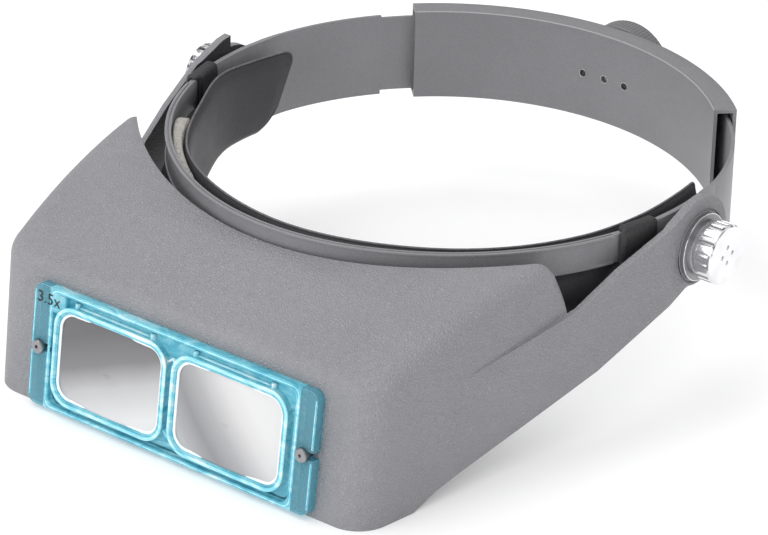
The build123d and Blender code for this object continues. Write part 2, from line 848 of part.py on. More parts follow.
export_step(visor_shell.part, "parts/visor_shell.step")

# ---------------------------------------------------------------- lens plate
with BuildPart() as lens_frame:
    with BuildSketch(plate_plane.offset(0.05)):
        RectangleRounded(plate_width, plate_height, plate_corner)
    extrude(amount=plate_thickness)
    with BuildSketch(plate_plane.offset(0.05 + plate_thickness)):
        RectangleRounded(2 * (tray_half_width - tray_wall), plate_height - 2 * tray_wall, plate_corner)
    extrude(amount=-tray_depth, mode=Mode.SUBTRACT)
    with BuildSketch(plate_plane.offset(0.05 + plate_thickness - tray_depth - 0.2)):
        with Locations((-lens_centre_x, lens_centre_v), (lens_centre_x, lens_centre_v)):
            RectangleRounded(lens_width + 2 * lens_rim, lens_height + 2 * lens_rim, lens_corner + lens_rim)
    extrude(amount=rim_height - plate_thickness + tray_depth + 0.2)
    with BuildSketch(plate_plane):
        with Locations((-lens_centre_x, lens_centre_v), (lens_centre_x, lens_centre_v)):
            RectangleRounded(lens_width + 0.1, lens_height + 0.1, lens_corner)
    extrude(amount=10, mode=Mode.SUBTRACT)
    with BuildSketch(plate_plane):
        with Locations((-plate_screw_x + plate_slide / 2, plate_screw_v)):
            SlotCenterToCenter(plate_slide, 2 * plate_screw_slot)
        with Locations((plate_screw_x + plate_slide, plate_screw_v)):
            SlotCenterToCenter(2 * plate_slide, 2 * plate_screw_slot)
    extrude(amount=10, mode=Mode.SUBTRACT)
lens_frame.part.label = "lens_frame"
export_step(lens_frame.part, "parts/lens_frame.step")


def lens(x):
    """Rounded rectangular lens, flat at the back and domed at the front."""
    dome_radius = ((lens_width / 2) ** 2 + lens_dome ** 2) / (2 * lens_dome)
    with BuildPart() as glass:
        with BuildSketch(plate_plane.offset(lens_back)):
            with Locations((x, lens_centre_v)):
                RectangleRounded(lens_width, lens_height, lens_corner - 0.1)
        extrude(amount=lens_edge + lens_dome)
        with Locations(plate_plane.offset(lens_back + lens_edge + lens_dome - dome_radius)):
            with Locations((x, lens_centre_v)):
                Sphere(dome_radius, mode=Mode.INTERSECT)
    return glass.part


for x, hand in ((lens_centre_x, "left"), (-lens_centre_x, "right")):
    glass = lens(x)
    glass.label = f"lens_{hand}"
    export_step(glass, f"parts/lens_{hand}.step")


def plate_screw(x):
    """Flat-headed screw that clamps one end of the lens plate."""
    with BuildPart() as screw:
        with BuildSketch(plate_plane.offset(0.1 + plate_thickness)):
            with Locations((x, plate_screw_v)):
                Circle(plate_screw_head_radius)
        extrude(amount=plate_screw_head_height)
        top_rim = screw.edges().filter_by(GeomType.CIRCLE).sort_by(Axis.Y)[0]
        chamfer(top_rim, length=0.3)
        with BuildSketch(plate_plane.offset(0.1 + plate_thickness + plate_screw_head_height)):
            with Locations((x, plate_screw_v)):
                Circle(screw_dimple_radius)
        extrude(amount=-screw_dimple_depth, mode=Mode.SUBTRACT)
        with BuildSketch(plate_plane.offset(-screw_end_depth)):
            with Locations((x, plate_screw_v)):
                Circle(plate_screw_radius)
        extrude(amount=screw_end_depth + 0.1 + plate_thickness)
    return screw.part


def screw_insert(x):
    """Threaded brass insert pressed into a boss behind the front panel."""
    with BuildPart() as insert:
        with BuildSketch(plate_plane.offset(-insert_length - 1.2)):
            with Locations((x, plate_screw_v)):
                Circle(insert_radius)
                Circle(plate_screw_radius + 0.03, mode=Mode.SUBTRACT)
        extrude(amount=insert_length - 0.85)
    return insert.part


for x, hand in ((plate_screw_x, "left"), (-plate_screw_x, "right")):
    screw = plate_screw(x)
    screw.label = f"plate_screw_{hand}"
    export_step(screw, f"parts/plate_screw_{hand}.step")
    insert = screw_insert(x)
    insert.label = f"screw_insert_{hand}"
    export_step(insert, f"parts/screw_insert_{hand}.step")
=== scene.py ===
import bpy, bmesh, json, math
from mathutils import Matrix, Vector, noise as space_noise


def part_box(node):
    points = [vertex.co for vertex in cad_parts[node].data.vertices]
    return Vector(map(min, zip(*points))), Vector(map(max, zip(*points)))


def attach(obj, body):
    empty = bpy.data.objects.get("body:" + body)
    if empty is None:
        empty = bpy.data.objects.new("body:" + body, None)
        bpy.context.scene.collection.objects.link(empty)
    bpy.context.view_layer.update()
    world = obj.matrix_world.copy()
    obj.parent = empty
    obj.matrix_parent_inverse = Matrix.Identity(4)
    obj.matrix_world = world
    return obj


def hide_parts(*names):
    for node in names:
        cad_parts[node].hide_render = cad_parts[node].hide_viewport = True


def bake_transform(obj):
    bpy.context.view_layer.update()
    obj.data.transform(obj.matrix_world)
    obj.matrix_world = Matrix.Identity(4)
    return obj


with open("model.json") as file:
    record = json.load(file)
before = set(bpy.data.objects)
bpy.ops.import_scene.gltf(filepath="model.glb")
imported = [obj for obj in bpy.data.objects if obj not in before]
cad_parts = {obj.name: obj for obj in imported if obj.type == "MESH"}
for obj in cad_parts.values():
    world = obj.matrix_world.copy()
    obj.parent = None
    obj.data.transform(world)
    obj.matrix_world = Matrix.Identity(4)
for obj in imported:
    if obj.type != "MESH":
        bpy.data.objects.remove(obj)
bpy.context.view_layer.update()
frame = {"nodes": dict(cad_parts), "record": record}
nodes = frame["nodes"]
scene = bpy.context.scene

# ------------------------------------------------------------------ reference lengths, metres
# the pivots lie this far behind and below the head ring's centre, which is at the band's top edge
PIVOT_BACK, PIVOT_DROP = 0.001, 0.012
knob_low, knob_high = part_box("thumb_knob_left")
RY = (knob_low[1] + knob_high[1]) / 2 - PIVOT_BACK
RZ = (knob_low[2] + knob_high[2]) / 2 + PIVOT_DROP
# plan of the headband's outer face: the straps' circle, then a flatter arc at each side, then the front arc,
# each with its radius (R), the distance of its centre from the ring's centre (C) and its half angle (A)
STRAP_R, SIDE_R, FRONT_C = 0.0873, 0.0927, 0.0130
SIDE_C = SIDE_R - STRAP_R
FRONT_R = SIDE_R - math.hypot(SIDE_C, FRONT_C)
FRONT_A = math.atan2(SIDE_C, FRONT_C)


# ------------------------------------------------------------------ node helpers
class Mat:
    """A node material built up step by step."""

    def __init__(self, name, color=(0.5, 0.5, 0.5), rough=0.5, **sockets):
        self.m = bpy.data.materials.new(name)
        self.m.use_nodes = True
        self.t = self.m.node_tree
        self.t.nodes.clear()
        self.out = self.t.nodes.new("ShaderNodeOutputMaterial")
        self.p = self.t.nodes.new("ShaderNodeBsdfPrincipled")
        self.t.links.new(self.p.outputs[0], self.out.inputs[0])
        self.p.inputs["Base Color"].default_value = (*color, 1)
        self.p.inputs["Roughness"].default_value = rough
        for k, v in sockets.items():
            self.p.inputs[k.replace("_", " ")].default_value = v
        self.coord = self.t.nodes.new("ShaderNodeTexCoord").outputs["Object"]

    def node(self, kind, **kw):
        n = self.t.nodes.new(kind)
        for k, v in kw.items():
            setattr(n, k, v)
        return n

    def link(self, a, b):
        self.t.links.new(a, b)

    def mapped(self, scale):
        n = self.node("ShaderNodeMapping")
        n.inputs["Scale"].default_value = scale
        self.link(self.coord, n.inputs["Vector"])
        return n.outputs[0]

    def noise(self, scale, detail=3.0, rough=0.5, vec=None, distortion=0.0):
        n = self.node("ShaderNodeTexNoise")
        n.inputs["Scale"].default_value = scale
        n.inputs["Detail"].default_value = detail
        n.inputs["Roughness"].default_value = rough
        n.inputs["Distortion"].default_value = distortion
        self.link(vec or self.coord, n.inputs["Vector"])
        return n.outputs["Fac"]

    def voronoi(self, scale, feature="F1", vec=None, smooth=None):
        n = self.node("ShaderNodeTexVoronoi", feature=feature)
        n.inputs["Scale"].default_value = scale
        if smooth is not None:
            n.inputs["Smoothness"].default_value = smooth
        self.link(vec or self.coord, n.inputs["Vector"])
        return n.outputs["Distance"]

    def ramp(self, fac, stops):
        n = self.node("ShaderNodeValToRGB")
        e = n.color_ramp.elements
        while len(e) > len(stops):
            e.remove(e[-1])
        while len(e) < len(stops):
            e.new(0.5)
        for el, (pos, col) in zip(e, stops):
            el.position = pos
            el.color = (*col, 1)
        self.link(fac, n.inputs["Fac"])
        return n.outputs["Color"]

    def math(self, op, a, b):
        n = self.node("ShaderNodeMath", operation=op)
        for i, v in enumerate((a, b)):
            if isinstance(v, (int, float)):
                n.inputs[i].default_value = v
            else:
                self.link(v, n.inputs[i])
        return n.outputs[0]

    def mix(self, fac, a, b, mode="MIX"):
        n = self.node("ShaderNodeMix", data_type="RGBA", blend_type=mode)
        if isinstance(fac, (int, float)):
            n.inputs[0].default_value = fac
        else:
            self.link(fac, n.inputs[0])
        for i, v in ((6, a), (7, b)):
            if isinstance(v, tuple):
                n.inputs[i].default_value = (*v, 1)
            else:
                self.link(v, n.inputs[i])
        return n.outputs[2]

    def color(self, c):
        self.link(c, self.p.inputs["Base Color"])

    def rough(self, fac, lo, hi):
        n = self.node("ShaderNodeMapRange")
        n.inputs["To Min"].default_value = lo
        n.inputs["To Max"].default_value = hi
        self.link(fac, n.inputs["Value"])
        self.link(n.outputs[0], self.p.inputs["Roughness"])

    def inward(self, centre):
        """1 where the surface faces the inside of the object, seen from a centre, else 0."""
        tc = self.node("ShaderNodeTexCoord")
        away = self.node("ShaderNodeVectorMath", operation="SUBTRACT")
        self.link(tc.outputs["Object"], away.inputs[0])
        away.inputs[1].default_value = centre
        unit = self.node("ShaderNodeVectorMath", operation="NORMALIZE")
        self.link(away.outputs[0], unit.inputs[0])
        dot = self.node("ShaderNodeVectorMath", operation="DOT_PRODUCT")
        self.link(unit.outputs[0], dot.inputs[0])
        self.link(tc.outputs["Normal"], dot.inputs[1])
        facing_limit = -0.12
        return self.math("LESS_THAN", dot.outputs["Value"], facing_limit)

    def bump(self, height, distance):
        n = self.node("ShaderNodeBump")
        n.inputs["Strength"].default_value = 1.0
        n.inputs["Distance"].default_value = distance
        self.link(height, n.inputs["Height"])
        self.link(n.outputs[0], self.p.inputs["Normal"])


# ------------------------------------------------------------------ materials
def plastic(name, base, grain, depth, rough, speck):
    """Moulded plastic: a pebbled grain, fine noise, soft tone changes and uneven gloss."""
    m = Mat(name, base, rough)
    pebbles = m.voronoi(grain, "SMOOTH_F1", smooth=0.35)
    fine = m.noise(grain * 2.6, 4, 0.6)
    both = m.math("ADD", pebbles, m.math("MULTIPLY", fine, 0.45))
    broad = m.noise(28, 3, 0.5)
    lo = tuple(c * (1 - speck) for c in base)
    hi = tuple(min(1, c * (1 + speck)) for c in base)
    tone = m.ramp(broad, [(0.3, lo), (0.7, hi)])
    # colour darker in the pebbles' hollows and lighter on their ridges, following the bump's height: painted
    # shade
    pit_painted_shade = m.ramp(both, [(0.15, (0.80, 0.80, 0.80)), (0.75, (1.08, 1.08, 1.08))])
    m.color(m.mix(0.75, tone, pit_painted_shade, "MULTIPLY"))
    m.rough(fine, rough - 0.07, rough + 0.08)
    m.bump(both, depth)
    return m.m


def leather_plastic(name, base, cell, depth, rough, contrast):
    """Plastic moulded with a leather grain: wrinkled cells, fine pores and soft tone changes."""
    m = Mat(name, base, rough)
    warp = m.node("ShaderNodeTexNoise")
    warp.inputs["Scale"].default_value = cell * 0.55
    warp.inputs["Detail"].default_value = 2
    m.link(m.coord, warp.inputs["Vector"])
    shift = m.node("ShaderNodeVectorMath", operation="SCALE")
    shift.inputs["Scale"].default_value = 1.1 / cell
    m.link(warp.outputs["Color"], shift.inputs[0])
    moved = m.node("ShaderNodeVectorMath", operation="ADD")
    m.link(m.coord, moved.inputs[0])
    m.link(shift.outputs[0], moved.inputs[1])
    edge = m.voronoi(cell, "DISTANCE_TO_EDGE", vec=moved.outputs[0])
    cells = m.math("MINIMUM", m.math("MULTIPLY", edge, 2.6), 1.0)
    pores = m.noise(cell * 2.4, 4, 0.65, vec=moved.outputs[0])
    height = m.math("ADD", cells, m.math("MULTIPLY", pores, 0.8))
    broad = m.noise(30, 3, 0.5)
    darker, lighter = tuple(c * 0.965 for c in base), tuple(c * 1.035 for c in base)
    tone = m.ramp(broad, [(0.3, darker), (0.7, lighter)])
    lo, hi = 1 - contrast, 1 + contrast * 0.7
    # colour darker in the creases between the cells and in the pores, following the bump's height: painted
    # shade
    pit_painted_shade = m.ramp(m.math("MULTIPLY", height, 0.62), [(0.18, (lo, lo, lo)), (0.85, (hi, hi, hi))])
    out = m.mix(1.0, tone, pit_painted_shade, "MULTIPLY")
    m.rough(pores, rough - 0.06, rough + 0.08)
    m.bump(height, depth)
    return m, out


def make_materials():
    """Every material, by the slot or the part of the visual model that it dresses."""
    mats = {}
    m, grain = leather_plastic("visor_leather_grain", (0.283, 0.281, 0.298), 1050, 0.00024, 0.50, 0.10)
    # the faces that look into the visor are painted near-black over the grain: a painted shade of the visor's
    # inside
    inner = m.inward((0, RY - 0.04, RZ - 0.045))
    m.color(m.mix(inner, grain, (0.018, 0.018, 0.021)))
    mats["visor"] = m.m
    # the *_edge materials here are paler than their parts: painted highlights along the rounded edges
    mats["visor_edge"] = plastic("visor_edge_painted_highlight", (0.40, 0.40, 0.415), 2400, 0.00003, 0.38, 0.05)
    mats["band"] = plastic("band_satin_plastic", (0.215, 0.213, 0.225), 1900, 0.00007, 0.38, 0.05)
    mats["band_edge"] = plastic("band_edge_painted_highlight", (0.42, 0.42, 0.435), 2400, 0.00003, 0.30, 0.05)
    mats["housing"] = plastic("housing_satin_plastic", (0.200, 0.198, 0.209), 1900, 0.00007, 0.42, 0.05)
    mats["housing_edge"] = plastic("housing_edge_painted_highlight", (0.36, 0.36, 0.37), 2400, 0.00003, 0.33, 0.05)
    mats["knob"] = plastic("size_knob_plastic", (0.17, 0.169, 0.178), 1700, 0.00009, 0.42, 0.06)

    # leatherette of the sweatband
    m = Mat("charcoal_leatherette", (0.03, 0.03, 0.033), 0.5)
    cells = m.voronoi(900, "SMOOTH_F1", smooth=0.3)
    crease = m.noise(210, 5, 0.62, distortion=0.8)
    height = m.math("ADD", cells, m.math("MULTIPLY", crease, 0.9))
    tone = m.ramp(m.noise(40, 4, 0.55), [(0.3, (0.030, 0.029, 0.033)), (0.72, (0.042, 0.041, 0.046))])
    shade = m.ramp(height, [(0.25, (0.84, 0.84, 0.84)), (1.0, (1.12, 1.12, 1.12))])
    m.color(m.mix(0.85, tone, shade, "MULTIPLY"))
    m.rough(crease, 0.46, 0.64)
    m.bump(height, 0.00007)
    mats["leather"] = m.m

    # paler line along the sweatband's edge: a painted highlight
    m = Mat("leather_edge_painted_highlight", (0.13, 0.13, 0.137), 0.5)
    m.color(m.ramp(m.noise(700, 4, 0.6), [(0.3, (0.085, 0.084, 0.09)), (0.7, (0.17, 0.168, 0.178))]))
    m.bump(m.noise(1500, 3), 0.00004)
    mats["leather_edge"] = m.m

    m = Mat("black_loop_leather", (0.012, 0.012, 0.013), 0.42)
    crease = m.noise(260, 5, 0.62, distortion=0.8)
    height = m.math("ADD", m.voronoi(1000, "SMOOTH_F1", smooth=0.3), crease)
    # colour lighter on the raised grain and darker in its hollows, following the bump's height: painted shade
    m.color(m.ramp(height, [(0.3, (0.010, 0.010, 0.011)), (1.1, (0.030, 0.030, 0.032))]))
    m.rough(crease, 0.40, 0.58)
    m.bump(height, 0.00007)
    mats["loop"] = m.m

    m = Mat("offwhite_fleece", (0.6, 0.58, 0.53), 0.95, Sheen_Weight=0.4, Sheen_Roughness=0.6)
    tuft = m.voronoi(820, "F1")
    curl = m.noise(1100, 5, 0.7, distortion=1.2)
    h = m.math("ADD", m.math("MULTIPLY", tuft, 0.8), curl)
    # colour darker in the hollows between the tufts and lighter on their tops, following the bump's height:
    # painted shade
    m.color(m.ramp(m.math("MULTIPLY", h, 0.6),
                   [(0.15, (0.24, 0.23, 0.19)), (0.5, (0.46, 0.44, 0.39)), (0.9, (0.62, 0.60, 0.55))]))
    m.bump(h, 0.0007)
    mats["fleece"] = m.m

    # clear aqua plastic: see-through and greyer on the two end tabs, streaked and bright in the tray, where
    # the streaks from dark teal to near white are painted highlight and shade
    def clear(name, tint, colours, see, rim, tabs=False):
        m = Mat(name, colours[1], 0.10, IOR=1.49, Specular_IOR_Level=0.7)
        painted_light_streaks = m.noise(105, 5, 0.62, vec=m.mapped((0.55, 1, 1.5)), distortion=2.2)
        # stop colours from dark teal to near white: painted highlight and shade in streaks
        stops = [(0.34, colours[0]), (0.47, colours[1]), (0.58, colours[2]), (0.70, colours[3])]
        col = m.ramp(painted_light_streaks, stops)
        glass = m.node("ShaderNodeBsdfTransparent")
        glass.inputs["Color"].default_value = (*tint, 1)
        facing = m.node("ShaderNodeLayerWeight")
        facing.inputs["Blend"].default_value = 0.35
        cover = m.node("ShaderNodeMapRange")
        cover.inputs["To Min"].default_value = see
        cover.inputs["To Max"].default_value = rim
        m.link(facing.outputs["Facing"], cover.inputs["Value"])
        amount = cover.outputs[0]
        if tabs:
            tab_start, tab_colour, tab_see = 0.0477, (0.24, 0.53, 0.62), 0.45
            parts = m.node("ShaderNodeSeparateXYZ")
            m.link(m.coord, parts.inputs[0])
            end = m.math("GREATER_THAN", m.math("ABSOLUTE", parts.outputs["X"], 0), tab_start)
            col = m.mix(end, col, tab_colour)
            amount = m.math("MULTIPLY", amount, m.math("SUBTRACT", 1.0, m.math("MULTIPLY", end, tab_see)))
        m.color(col)
        m.rough(m.noise(330, 3), 0.05, 0.20)
        m.bump(m.noise(420, 4, 0.6, distortion=1.0), 0.00022)
        both = m.node("ShaderNodeMixShader")
        m.link(amount, both.inputs["Fac"])
        m.link(glass.outputs[0], both.inputs[1])
        m.link(m.p.outputs[0], both.inputs[2])
        m.link(both.outputs[0], m.out.inputs[0])
        return m.m

    mats["plate"] = clear("aqua_clear_plastic", (0.50, 0.80, 0.88),
                          ((0.10, 0.47, 0.61), (0.20, 0.66, 0.80), (0.36, 0.80, 0.91), (0.72, 0.95, 0.99)),
                          0.52, 0.95, tabs=True)
    # bright edge material, used on the plate's rounded edges and ribs: a painted highlight
    mats["plate_edge"] = clear("aqua_painted_highlight_edge", (0.62, 0.93, 0.98),
                               ((0.24, 0.72, 0.86), (0.42, 0.85, 0.95), (0.66, 0.95, 0.99), (0.95, 1.0, 1.0)),
                               0.80, 0.98)
    # dark line material, used at the foot of the tray wall and under the slot bars: a painted shadow
    mats["plate_line"] = clear("aqua_painted_shadow_line", (0.10, 0.30, 0.36),
                               ((0.01, 0.09, 0.13), (0.02, 0.14, 0.19),
                                (0.05, 0.24, 0.31), (0.20, 0.55, 0.66)),
                               0.80, 0.95)

    # lens: soft grey tones painted across each lens, as the photograph shows them
    # the lens colours are painted light and shade: the left lens darker at the upper left and lighter at the
    # lower right, the right lens crossed by a darker diagonal band at its lower left, a painted reflection
    m = Mat("lens_glass", (0.5, 0.5, 0.5), 0.08, IOR=1.5, Specular_IOR_Level=0.45, Coat_Weight=0.5)
    lens_x, lens_z = 0.0228, RZ - 0.0405
    parts = m.node("ShaderNodeSeparateXYZ")
    m.link(m.coord, parts.inputs[0])
    x_pos = parts.outputs["X"]
    high = m.math("SUBTRACT", parts.outputs["Z"], lens_z)
    right = m.math("GREATER_THAN", x_pos, 0.0)
    painted_light_wobble = m.math("MULTIPLY", m.noise(45, 3, 0.55), 0.10)
    left_x = m.math("ADD", x_pos, lens_x)
    painted_light_fall = m.math("SUBTRACT", m.math("MULTIPLY", left_x, 14.0), m.math("MULTIPLY", high, 34.0))
    painted_light_fall = m.math("ADD", m.math("ADD", painted_light_fall, painted_light_wobble), 0.42)
    left_col = m.ramp(painted_light_fall, [(0.0, (0.095, 0.092, 0.098)), (0.35, (0.16, 0.158, 0.165)),
                             (0.62, (0.42, 0.42, 0.43)), (1.0, (0.62, 0.62, 0.625))])
    right_x = m.math("SUBTRACT", x_pos, lens_x)
    painted_reflection_streak = m.math("ADD", m.math("MULTIPLY", right_x, 34.0), m.math("MULTIPLY", high, 30.0))
    painted_reflection_streak = m.math("ABSOLUTE", m.math("ADD", m.math("ADD", painted_reflection_streak, painted_light_wobble), 0.42), 0)
    right_col = m.ramp(painted_reflection_streak, [(0.0, (0.21, 0.21, 0.22)), (0.35, (0.33, 0.33, 0.34)),
                                (0.75, (0.56, 0.555, 0.56)), (1.0, (0.62, 0.62, 0.62))])
    m.color(m.mix(right, left_col, right_col))
    m.rough(m.noise(35, 2), 0.05, 0.12)
    m.bump(m.noise(60, 2), 0.00002)
    mats["lens"] = m.m

    m = Mat("frosted_lens_edge", (0.93, 0.95, 0.96), 0.32, Specular_IOR_Level=0.7)
    m.color(m.ramp(m.noise(500, 4, 0.6), [(0.3, (0.80, 0.88, 0.91)), (0.7, (0.98, 0.99, 1.0))]))
    m.bump(m.noise(900, 3), 0.00008)
    mats["lens_edge"] = m.m

    m = Mat("polished_chrome", (0.86, 0.86, 0.87), 0.1, Metallic=1.0)
    scratch = m.noise(700, 4, 0.6, vec=m.mapped((1, 6, 1)))
    m.rough(scratch, 0.08, 0.22)
    m.color(m.ramp(m.noise(150, 3), [(0.3, (0.80, 0.80, 0.82)), (0.7, (0.92, 0.92, 0.93))]))
    m.bump(scratch, 0.00001)
    mats["chrome"] = m.m

    m = Mat("brushed_steel", (0.30, 0.30, 0.31), 0.3, Metallic=1.0)
    scratch = m.noise(1400, 4, 0.6, vec=m.mapped((1, 1, 9)))
    m.rough(scratch, 0.22, 0.42)
    m.color(m.ramp(scratch, [(0.3, (0.24, 0.24, 0.25)), (0.7, (0.38, 0.38, 0.39))]))
    m.bump(scratch, 0.00002)
    mats["steel"] = m.m

    m = Mat("blackened_steel", (0.05, 0.05, 0.052), 0.4, Metallic=0.8)
    m.color(m.ramp(m.noise(1200, 3), [(0.3, (0.03, 0.03, 0.032)), (0.7, (0.09, 0.09, 0.092))]))
    m.bump(m.noise(1500, 3), 0.00002)
    mats["dark_steel"] = m.m

    m = Mat("grey_washer", (0.26, 0.26, 0.27), 0.34, Metallic=0.65)
    fib = m.noise(2200, 4, 0.6)
    m.color(m.ramp(fib, [(0.3, (0.25, 0.25, 0.26)), (0.7, (0.34, 0.34, 0.35))]))
    m.rough(fib, 0.28, 0.46)
    m.bump(fib, 0.00003)
    mats["washer"] = m.m

    m = Mat("machined_brass", (0.70, 0.52, 0.24), 0.28, Metallic=1.0)
    turn = m.noise(1600, 3, 0.6)
    m.rough(turn, 0.2, 0.4)
    m.color(m.ramp(turn, [(0.3, (0.62, 0.45, 0.20)), (0.7, (0.78, 0.60, 0.30))]))
    m.bump(turn, 0.00002)
    mats["brass"] = m.m

    m = Mat("black_print", (0.01, 0.01, 0.011), 0.35)
    m.color(m.ramp(m.noise(1500, 2), [(0.3, (0.008, 0.008, 0.009)), (0.7, (0.02, 0.02, 0.022))]))
    mats["print"] = m.m

    m = Mat("studio_floor", (0.88, 0.88, 0.885), 0.6, Emission_Color=(1, 1, 1, 1), Emission_Strength=0.16)
    m.color(m.ramp(m.noise(3, 2), [(0.3, (0.885, 0.885, 0.89)), (0.7, (0.895, 0.895, 0.90))]))
    mats["floor"] = m.m
    return mats


M = make_materials()
slot_of = {s["node"]: s["material_slot"] for s in frame["record"]["subparts"]}


def dress(obj, material):
    """Gives an object one material in place of what it has."""
    obj.data.materials.clear()
    obj.data.materials.append(material)


def soften(obj, width, edge, angle):
    """Rounded edges on a CAD node, as moulding and machining leave them, in a paler material: a painted
    highlight along the edge.
    """
    weld_distance = 0.000004
    w = obj.modifiers.new("weld", "WELD")
    w.merge_threshold = weld_distance
    b = obj.modifiers.new("edge", "BEVEL")
    b.width = width
    b.segments = 2
    b.limit_method = "ANGLE"
    b.angle_limit = math.radians(angle)
    b.harden_normals = True
    b.use_clamp_overlap = True
    obj.data.materials.append(edge)
    b.material = 1
    for poly in obj.data.polygons:
        poly.use_smooth = True


for name, obj in nodes.items():
    dress(obj, M[slot_of[name]])
dress(nodes["housing_screws"], M["dark_steel"])

# node: width of the rounding, paler material of the rounded edge (a painted highlight), smallest angle
# rounded in degrees
EDGE = {
    "visor_shell": (0.00045, "visor_edge", 50), "front_headband": (0.00022, "band_edge", 40),
    "side_strap_left": (0.00025, "band_edge", 50), "side_strap_right": (0.00025, "band_edge", 50),
    "housing_outer": (0.0006, "housing_edge", 50), "lens_frame": (0.0004, "plate_edge", 35),
}
for name, (width, edge, angle) in EDGE.items():
    soften(nodes[name], width, M[edge], angle)


# ------------------------------------------------------------------ the head ring's geometry
def band_r(theta, inset=0.0):
    """Distance from the ring's centre to the headband's outer face, at an angle from the front."""
    c, sn = math.cos(theta), abs(math.sin(theta))
    if c <= 0:
        return STRAP_R - inset
    big = FRONT_R - inset
    r = FRONT_C * c + math.sqrt(max(0.0, (FRONT_C * c) ** 2 - FRONT_C ** 2 + big ** 2))
    if math.atan2(r * sn, r * c - FRONT_C) <= FRONT_A:
        return r
    big = SIDE_R - inset
    return -SIDE_C * sn + math.sqrt((SIDE_C * sn) ** 2 - SIDE_C ** 2 + big ** 2)


def smooth_steps(stations, x):
    """Smooth curve through (x, value) stations."""
    if x <= stations[0][0]:
        return stations[0][1]
    if x >= stations[-1][0]:
        return stations[-1][1]
    for i in range(len(stations) - 1):
        (x0, y0), (x1, y1) = stations[i], stations[i + 1]
        if x0 <= x <= x1:
            before = stations[max(i - 1, 0)]
            after = stations[min(i + 2, len(stations) - 1)]
            m0 = (y1 - before[1]) / max(x1 - before[0], 1e-9)
            m1 = (after[1] - y0) / max(after[0] - x0, 1e-9)
            h = x1 - x0
            t = (x - x0) / h
            return ((2 * t ** 3 - 3 * t ** 2 + 1) * y0 + (t ** 3 - 2 * t ** 2 + t) * h * m0
                    + (-2 * t ** 3 + 3 * t ** 2) * y1 + (t ** 3 - t ** 2) * h * m1)


def at(theta, r, z):
    """Point from an angle round the ring, a radius and a height over the band's top edge."""
    return (r * math.sin(theta), RY - r * math.cos(theta), RZ + z)


def mesh_object(name, bm, smooth=False):
    """Object made from a finished bmesh, linked into the scene."""
    mesh = bpy.data.meshes.new(name)
    bm.to_mesh(mesh)
    bm.free()
    for poly in mesh.polygons:
        poly.use_smooth = smooth
    obj = bpy.data.objects.new(name, mesh)
    scene.collection.objects.link(obj)
    return obj


def ring_mesh(name, rows, caps=True, smooth=True):
    """Mesh of a closed section carried along a path: rows of equally many points."""
    bm = bmesh.new()
    grid = [[bm.verts.new(p) for p in row] for row in rows]
    n = len(rows[0])
    for a, b in zip(grid, grid[1:]):
        for j in range(n):
            bm.faces.new((a[j], a[(j + 1) % n], b[(j + 1) % n], b[j]))
    if caps:
        bm.faces.new(grid[0][::-1])
        bm.faces.new(grid[-1])
    bmesh.ops.recalc_face_normals(bm, faces=bm.faces)
    return mesh_object(name, bm, smooth)


def tube(name, points, radius, closed=False, sides=8):
    """Round bead along a line of points."""
    pts = [Vector(p) for p in points]
    keep = [pts[0]]
    for p in pts[1:]:
        if (p - keep[-1]).length > radius * 0.6:
            keep.append(p)
    pts = keep
    rows = []
    n = len(pts)
    for i, p in enumerate(pts):
        before = pts[i - 1] if (i or closed) else p
        after = pts[(i + 1) % n] if (i < n - 1 or closed) else p
        d = (after - before).normalized()
        up = Vector((0, 0, 1)) if abs(d.z) < 0.8 else Vector((p.x, p.y - RY, 0)).normalized()
        a = d.cross(up).normalized()
        b = a.cross(d)
        turns = [2 * math.pi * k / sides for k in range(sides)]
        rows.append([tuple(p + a * (radius * math.cos(t)) + b * (radius * math.sin(t))) for t in turns])
    if closed:
        rows.append(rows[0])
    return ring_mesh(name, rows, caps=not closed)


# ------------------------------------------------------------------ sweatband
# each table is (degrees from the front, metres): the outer face's radius, the top and lower edges over the
# band's top edge, and how far the padding swells past the band
LEATHER = [(-104, 0.0786), (-80, 0.0813), (-62, 0.0804), (-36, 0.0846), (0, 0.0864), (36, 0.0846),
           (62, 0.0832), (80, 0.0823), (104, 0.0820)]
TOP = [(-104, -0.0022), (-90, -0.0018), (-76, -0.0006), (-55, -0.0010), (-30, -0.0010), (0, -0.0008),
       (40, -0.0012), (66, -0.0014), (80, -0.0004), (92, 0.0004), (104, 0.0002)]
LOW = -0.0302
BULGE = [(-76, 0.0), (-66, 0.0008), (-50, 0.0022), (-30, 0.0018), (0, 0.0004), (30, 0.0014), (50, 0.0018),
         (66, 0.0006), (76, 0.0)]
# where the swelling starts below the top edge, and the flaps' start and end, in degrees
SWELL_TOP = -0.0098
FLAP_START, LEATHER_END = 80, 104.0
FLAP_TOP_END, FLAP_SLANT = 102.2, 7.8


def leather_r(deg):
    return smooth_steps(LEATHER, deg)


def corner_drop(s, radius):
    """How far a rounded corner cuts in, at a distance from the flap's end."""
    if s >= radius:
        return 0.0
    return radius - math.sqrt(max(0.0, radius ** 2 - (radius - s) ** 2))


def flap_angle(deg, z, top, low):
    """Slants the flap's end, so that it is longer at the top than at the bottom."""
    if abs(deg) <= FLAP_START:
        return deg
    end = FLAP_TOP_END - FLAP_SLANT * min(1.0, max(0.0, (top - z) / (top - low)))
    along = (abs(deg) - FLAP_START) * (end - FLAP_START) / (LEATHER_END - FLAP_START)
    return math.copysign(FLAP_START + along, deg)


